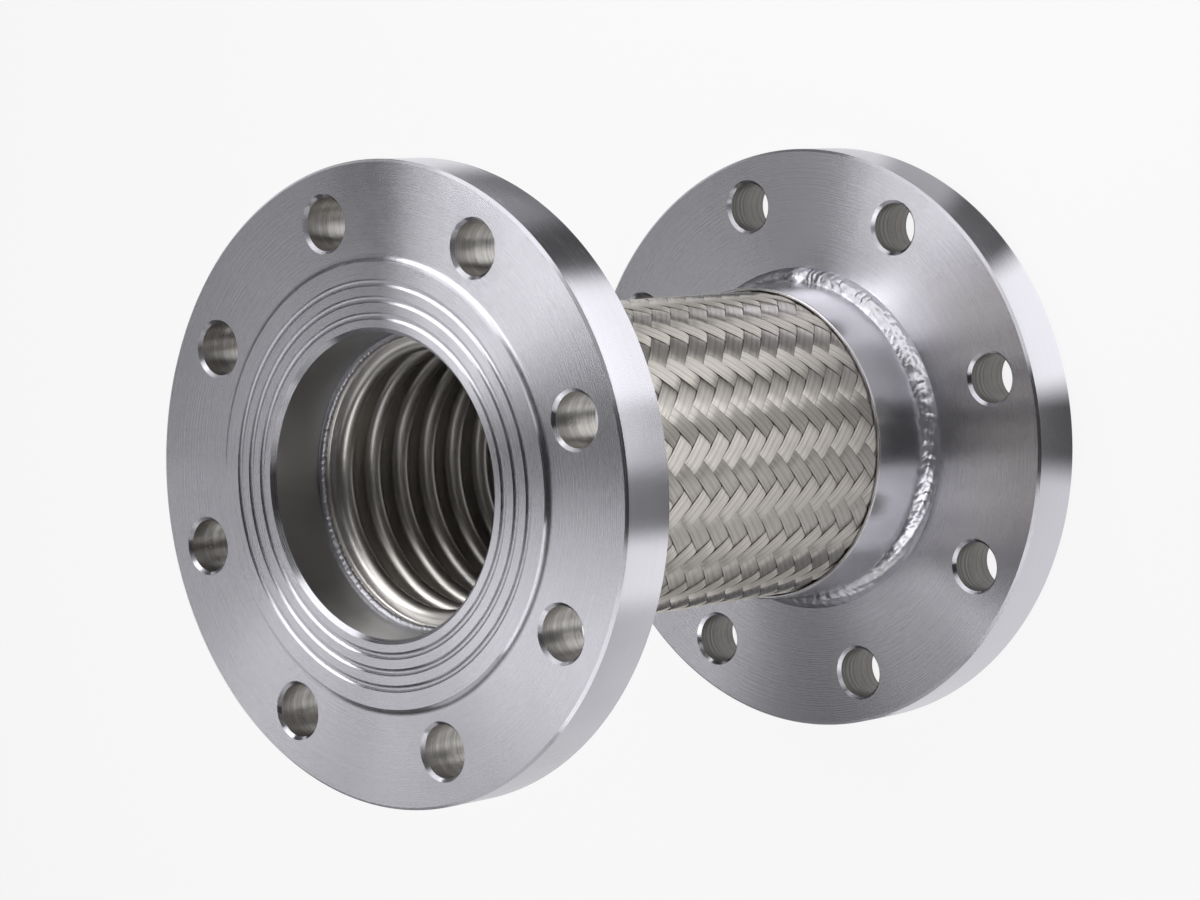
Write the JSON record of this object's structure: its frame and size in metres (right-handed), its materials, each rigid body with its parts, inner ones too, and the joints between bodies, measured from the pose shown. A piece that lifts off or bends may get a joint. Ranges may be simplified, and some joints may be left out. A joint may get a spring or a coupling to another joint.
{
  "type": "metal expansion joint",
  "caption": "Flexible metal pipe connector: a corrugated steel bellows under a woven wire braid, with ferrules welded to drilled raised-face flanges.",
  "frame": {"origin": "centre of the lower raised gasket face, which the joint stands on", "axes": "+Z along the flow passage from the lower flange to the upper one; the bolt holes straddle X and Y"},
  "size_m": [0.2286, 0.2286, 0.26],
  "materials": {
    "flange_steel": "turned, fine concentric lathe lines",
    "ferrule_steel": "smooth drawn and lightly polished",
    "bellows_steel": "formed thin sheet, satin",
    "braid_wire": "flat bands of fine bright wires",
    "weld_metal": "rippled weld bead, shiny"
  },
  "bodies": {
    "root": {"lower_flange": "flange_steel", "upper_flange": "flange_steel", "lower_ferrule": "ferrule_steel", "upper_ferrule": "ferrule_steel", "bellows": "bellows_steel", "braid": "braid_wire", "lower_fillet_weld": "weld_metal", "upper_fillet_weld": "weld_metal", "lower_seam_weld": "weld_metal", "upper_seam_weld": "weld_metal"}
  },
  "joints": []
}
